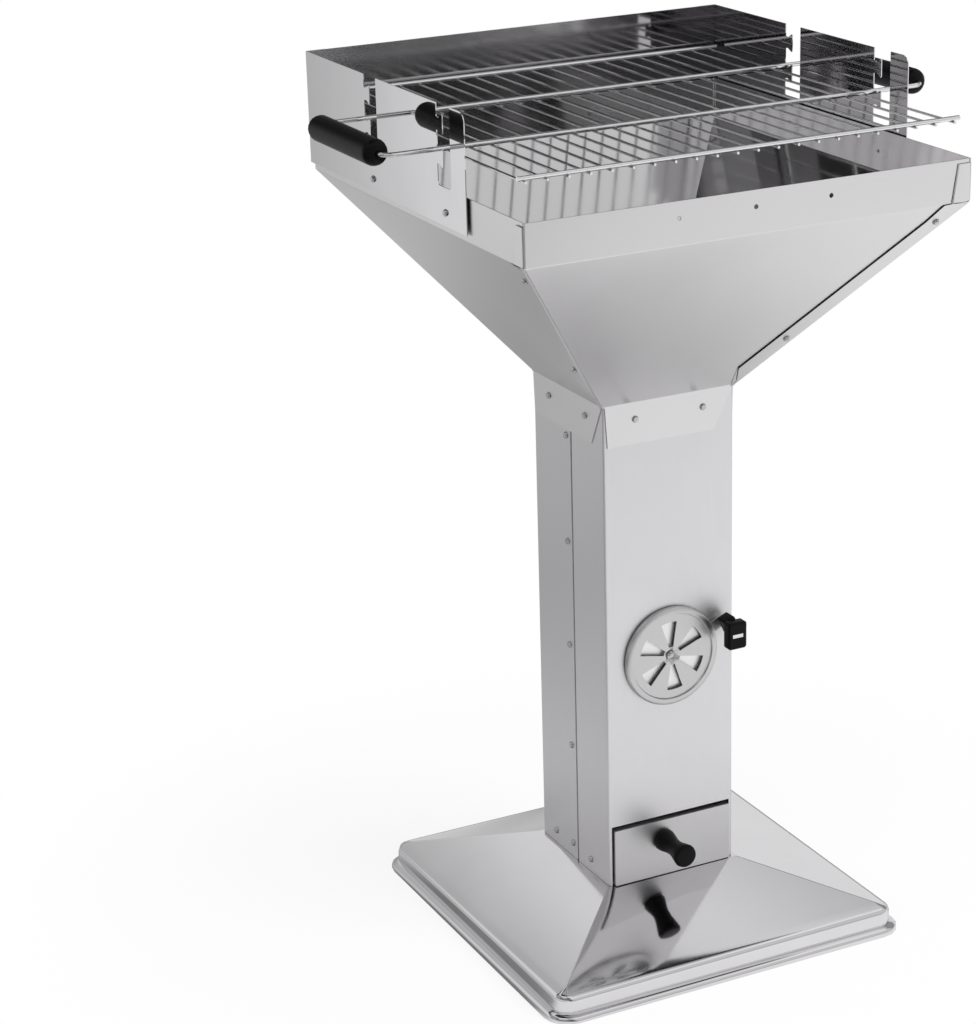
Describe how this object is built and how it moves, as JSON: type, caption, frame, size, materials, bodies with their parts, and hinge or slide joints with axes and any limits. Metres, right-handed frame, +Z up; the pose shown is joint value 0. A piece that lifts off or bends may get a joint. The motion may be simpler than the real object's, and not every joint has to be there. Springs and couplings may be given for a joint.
{
  "type": "pedestal park barbecue grill",
  "caption": "Free-standing square pedestal charcoal grill with a funnel fire bowl, hook-slot windscreen, lift-off wire grate, turning air vent and sliding ash drawer.",
  "frame": {"origin": "on the floor under the column's centre", "axes": "+Z up, -Y towards the front with the vent and drawer, +X to the right seen from the front"},
  "size_m": [0.6264, 0.4869, 0.918],
  "materials": {
    "mirror_sheet": "mirror-polished stainless sheet",
    "satin_sheet": "satin-brushed stainless sheet",
    "bowl_sheet": "matt stainless sheet",
    "chromed_wire": "bright chromed wire",
    "dark_wire": "plain steel wire",
    "black_plastic": "black heat-proof plastic, semi-matt",
    "screw_steel": "bright steel"
  },
  "bodies": {
    "stand": {"base_foot": "mirror_sheet", "base_collar": "bowl_sheet", "column_front": "satin_sheet", "column_rear": "satin_sheet", "funnel_front": "bowl_sheet", "funnel_right": "bowl_sheet", "funnel_rear": "bowl_sheet", "funnel_left": "bowl_sheet", "windscreen_left": "mirror_sheet", "windscreen_right": "mirror_sheet", "windscreen_back": "mirror_sheet", "vent_rivet": "screw_steel", "seam_screw_left_1": "screw_steel", "seam_screw_left_2": "screw_steel", "seam_screw_left_3": "screw_steel", "seam_screw_left_4": "screw_steel", "seam_screw_left_5": "screw_steel", "seam_screw_right_1": "screw_steel", "seam_screw_right_2": "screw_steel", "seam_screw_right_3": "screw_steel", "seam_screw_right_4": "screw_steel", "seam_screw_right_5": "screw_steel", "base_screw_left_front": "screw_steel", "base_screw_left_rear": "screw_steel", "base_screw_right_front": "screw_steel", "base_screw_right_rear": "screw_steel", "base_screw_rear": "screw_steel", "hip_screw_front_1": "screw_steel", "hip_screw_front_2": "screw_steel", "hip_screw_right_1": "screw_steel", "hip_screw_right_2": "screw_steel", "hip_screw_rear_1": "screw_steel", "hip_screw_rear_2": "screw_steel", "hip_screw_left_1": "screw_steel", "hip_screw_left_2": "screw_steel", "collar_screw_front_1": "screw_steel", "collar_screw_front_2": "screw_steel", "collar_screw_right_1": "screw_steel", "collar_screw_right_2": "screw_steel", "collar_screw_rear_1": "screw_steel", "collar_screw_rear_2": "screw_steel", "collar_screw_left_1": "screw_steel", "collar_screw_left_2": "screw_steel", "windscreen_screw_left_1": "screw_steel", "windscreen_screw_left_2": "screw_steel", "windscreen_screw_right_1": "screw_steel", "windscreen_screw_right_2": "screw_steel", "windscreen_screw_back_1": "screw_steel", "windscreen_screw_back_2": "screw_steel"},
    "damper": {"vent_disc": "satin_sheet", "vent_grip": "black_plastic"},
    "drawer": {"drawer_front": "mirror_sheet", "drawer_tray": "bowl_sheet", "drawer_knob": "black_plastic", "drawer_knob_screw": "screw_steel"},
    "grate": {"cooking_grate": "chromed_wire", "handle_loop": "chromed_wire", "grip_left": "black_plastic", "grip_right": "black_plastic"},
    "coal_grate": {"charcoal_grate": "dark_wire"}
  },
  "joints": [
    {"name": "vent_turn", "type": "hinge", "parent": "stand", "child": "damper", "pos_m": [0, -0.075, 0.314], "axis": [0, -1, 0], "range_deg": [-30, 30]},
    {"name": "drawer_slide", "type": "slide", "parent": "stand", "child": "drawer", "axis": [0, -1, 0], "range_m": [0, 0.12]},
    {"name": "grate_unhook", "type": "slide", "parent": "stand", "child": "grate", "axis": [0, -0.6429, 0.7659], "range_m": [0, 0.03]},
    {"name": "coal_grate_lift", "type": "slide", "parent": "stand", "child": "coal_grate", "axis": [0, 0, 1], "range_m": [0, 0.2]}
  ]
}
